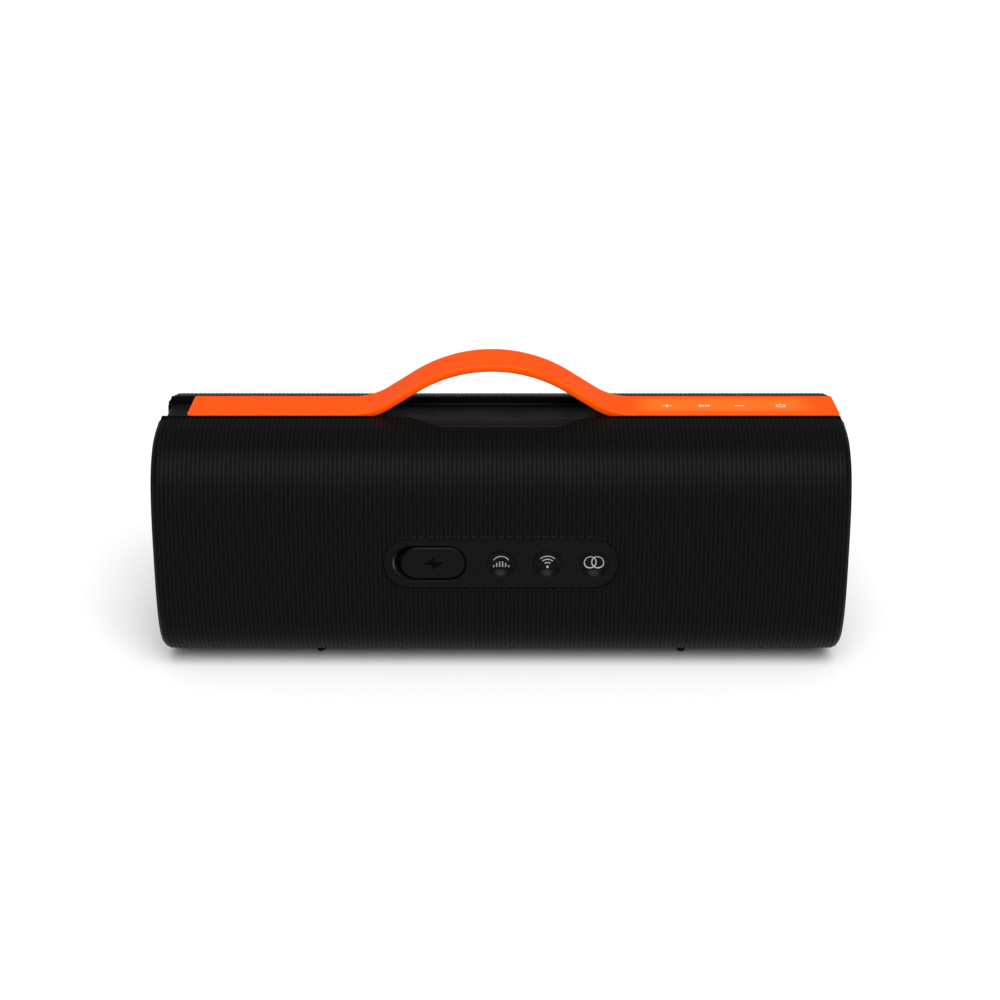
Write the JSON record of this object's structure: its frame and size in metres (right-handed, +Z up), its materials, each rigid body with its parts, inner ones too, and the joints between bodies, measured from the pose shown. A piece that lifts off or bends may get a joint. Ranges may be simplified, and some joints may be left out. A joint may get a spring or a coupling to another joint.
{
  "type": "portable bluetooth speaker",
  "caption": "Rounded box speaker in ribbed cloth with a flexible strap handle that slides up into an arch, keys on the strap, and a rear panel with a port flap and push buttons.",
  "frame": {"origin": "on the surface the speaker stands on, under the centre of its bounding box", "axes": "+X along the length towards the keyed end of the strap, +Y towards the listener's side, away from the control panel, +Z up"},
  "size_m": [0.28, 0.0918, 0.1235],
  "materials": {
    "case_plastic": "smooth satin moulded black plastic",
    "knit_fabric": "black ribbed acoustic cloth with staggered open cells",
    "strap_silicone": "bright orange satin silicone",
    "soft_rubber": "matt black rubber",
    "radiator_metal": "spun dark aluminium",
    "circuit_board": "green solder mask",
    "plated_steel": "nickel-plated steel",
    "ferrite": "ground ferrite",
    "paper_cone": "pressed fibre cone",
    "cell_wrap": "blue shrink wrap",
    "wire_sleeve": "red insulated wire"
  },
  "bodies": {
    "case": {"front_shell": "case_plastic", "rear_shell": "case_plastic", "top_tray": "case_plastic", "fabric_sleeve": "knit_fabric", "end_ring_left": "case_plastic", "end_ring_right": "case_plastic", "rear_panel": "case_plastic", "panel_gasket": "soft_rubber", "foot_left": "soft_rubber", "foot_right": "soft_rubber", "strap_right": "strap_silicone", "strap_screw_1": "plated_steel", "strap_screw_2": "plated_steel", "key_board": "circuit_board", "button_board": "circuit_board", "button_switch_1": "plated_steel", "button_switch_2": "plated_steel", "button_switch_3": "plated_steel", "usb_c_socket": "plated_steel", "main_board": "circuit_board", "battery_cell_1": "cell_wrap", "battery_cell_2": "cell_wrap", "battery_holder": "case_plastic", "battery_lead": "wire_sleeve", "speaker_lead_left": "wire_sleeve", "speaker_lead_right": "wire_sleeve", "radiator_surround_left": "soft_rubber", "radiator_surround_right": "soft_rubber", "driver_basket_left": "case_plastic", "driver_basket_right": "case_plastic", "driver_magnet_left": "ferrite", "driver_magnet_right": "ferrite", "driver_surround_left": "soft_rubber", "driver_surround_right": "soft_rubber", "shell_screw_1": "plated_steel", "shell_screw_2": "plated_steel", "shell_screw_3": "plated_steel", "shell_screw_4": "plated_steel"},
    "strap_link_1": {"strap_link_1": "strap_silicone"},
    "strap_link_2": {"strap_link_2": "strap_silicone"},
    "strap_link_3": {"strap_link_3": "strap_silicone"},
    "strap_link_4": {"strap_link_4": "strap_silicone"},
    "strap_link_5": {"strap_link_5": "strap_silicone"},
    "strap_link_6": {"strap_link_6": "strap_silicone"},
    "strap_link_7": {"strap_link_7": "strap_silicone"},
    "strap_left": {"strap_left": "strap_silicone", "strap_runner": "case_plastic"},
    "key_volume_up": {"key_volume_up": "strap_silicone"},
    "key_play": {"key_play": "strap_silicone"},
    "key_volume_down": {"key_volume_down": "strap_silicone"},
    "key_power": {"key_power": "strap_silicone"},
    "button_bass": {"button_bass": "case_plastic"},
    "button_pairing": {"button_pairing": "case_plastic"},
    "button_link": {"button_link": "case_plastic"},
    "port_flap": {"port_flap": "soft_rubber"},
    "radiator_disc_left": {"radiator_disc_left": "radiator_metal"},
    "driver_cone_left": {"driver_cone_left": "paper_cone"},
    "radiator_disc_right": {"radiator_disc_right": "radiator_metal"},
    "driver_cone_right": {"driver_cone_right": "paper_cone"}
  },
  "joints": [
    {"name": "handle_fold", "type": "hinge", "parent": "case", "child": "strap_link_1", "pos_m": [0.04951, 0, 0.1008], "axis": [0, -1, 0], "range_deg": [0, 16.25]},
    {"name": "handle_bend_2", "type": "hinge", "parent": "strap_link_1", "child": "strap_link_2", "pos_m": [0.04244, 0, 0.10286], "axis": [0, -1, 0], "range_deg": [0, 16.25]},
    {"name": "handle_bend_3", "type": "hinge", "parent": "strap_link_2", "child": "strap_link_3", "pos_m": [0.02005, 0, 0.11713], "axis": [0, -1, 0], "range_deg": [-16.25, 0]},
    {"name": "handle_bend_4", "type": "hinge", "parent": "strap_link_3", "child": "strap_link_4", "pos_m": [0.00437, 0, 0.1217], "axis": [0, -1, 0], "range_deg": [-16.25, 0]},
    {"name": "handle_bend_5", "type": "hinge", "parent": "strap_link_4", "child": "strap_link_5", "pos_m": [-0.01197, 0, 0.1217], "axis": [0, -1, 0], "range_deg": [-16.25, 0]},
    {"name": "handle_bend_6", "type": "hinge", "parent": "strap_link_5", "child": "strap_link_6", "pos_m": [-0.02765, 0, 0.11713], "axis": [0, -1, 0], "range_deg": [-16.25, 0]},
    {"name": "handle_bend_7", "type": "hinge", "parent": "strap_link_6", "child": "strap_link_7", "pos_m": [-0.05004, 0, 0.10286], "axis": [0, -1, 0], "range_deg": [0, 16.25]},
    {"name": "handle_bend_8", "type": "hinge", "parent": "strap_link_7", "child": "strap_left", "pos_m": [-0.05711, 0, 0.1008], "axis": [0, -1, 0], "range_deg": [0, 16.25]},
    {"name": "volume_up_press", "type": "slide", "parent": "case", "child": "key_volume_up", "axis": [0, 0, -1], "range_m": [0, 0.0006], "stiffness_N_per_m": 800},
    {"name": "play_press", "type": "slide", "parent": "case", "child": "key_play", "axis": [0, 0, -1], "range_m": [0, 0.0006], "stiffness_N_per_m": 800},
    {"name": "volume_down_press", "type": "slide", "parent": "case", "child": "key_volume_down", "axis": [0, 0, -1], "range_m": [0, 0.0006], "stiffness_N_per_m": 800},
    {"name": "power_press", "type": "slide", "parent": "case", "child": "key_power", "axis": [0, 0, -1], "range_m": [0, 0.0006], "stiffness_N_per_m": 800},
    {"name": "bass_press", "type": "slide", "parent": "case", "child": "button_bass", "axis": [0, 1, 0], "range_m": [0, 0.0008], "stiffness_N_per_m": 800},
    {"name": "pairing_press", "type": "slide", "parent": "case", "child": "button_pairing", "axis": [0, 1, 0], "range_m": [0, 0.0008], "stiffness_N_per_m": 800},
    {"name": "link_press", "type": "slide", "parent": "case", "child": "button_link", "axis": [0, 1, 0], "range_m": [0, 0.0008], "stiffness_N_per_m": 800},
    {"name": "port_flap_open", "type": "hinge", "parent": "case", "child": "port_flap", "pos_m": [-0.0142, -0.0451, 0.0505], "axis": [0, 0, 1], "range_deg": [0, 100]},
    {"name": "radiator_left_travel", "type": "slide", "parent": "case", "child": "radiator_disc_left", "axis": [-1, 0, 0], "range_m": [-0.002, 0.002], "stiffness_N_per_m": 1500},
    {"name": "driver_left_travel", "type": "slide", "parent": "case", "child": "driver_cone_left", "axis": [0, 1, 0], "range_m": [-0.0015, 0.0015], "stiffness_N_per_m": 1500},
    {"name": "radiator_right_travel", "type": "slide", "parent": "case", "child": "radiator_disc_right", "axis": [1, 0, 0], "range_m": [-0.002, 0.002], "stiffness_N_per_m": 1500},
    {"name": "driver_right_travel", "type": "slide", "parent": "case", "child": "driver_cone_right", "axis": [0, 1, 0], "range_m": [-0.0015, 0.0015], "stiffness_N_per_m": 1500}
  ],
  "couplings": [
    {"joint": "handle_bend_2", "follows": "handle_fold", "ratio": 1},
    {"joint": "handle_bend_3", "follows": "handle_fold", "ratio": -1},
    {"joint": "handle_bend_4", "follows": "handle_fold", "ratio": -1},
    {"joint": "handle_bend_5", "follows": "handle_fold", "ratio": -1},
    {"joint": "handle_bend_6", "follows": "handle_fold", "ratio": -1},
    {"joint": "handle_bend_7", "follows": "handle_fold", "ratio": 1},
    {"joint": "handle_bend_8", "follows": "handle_fold", "ratio": 1}
  ]
}
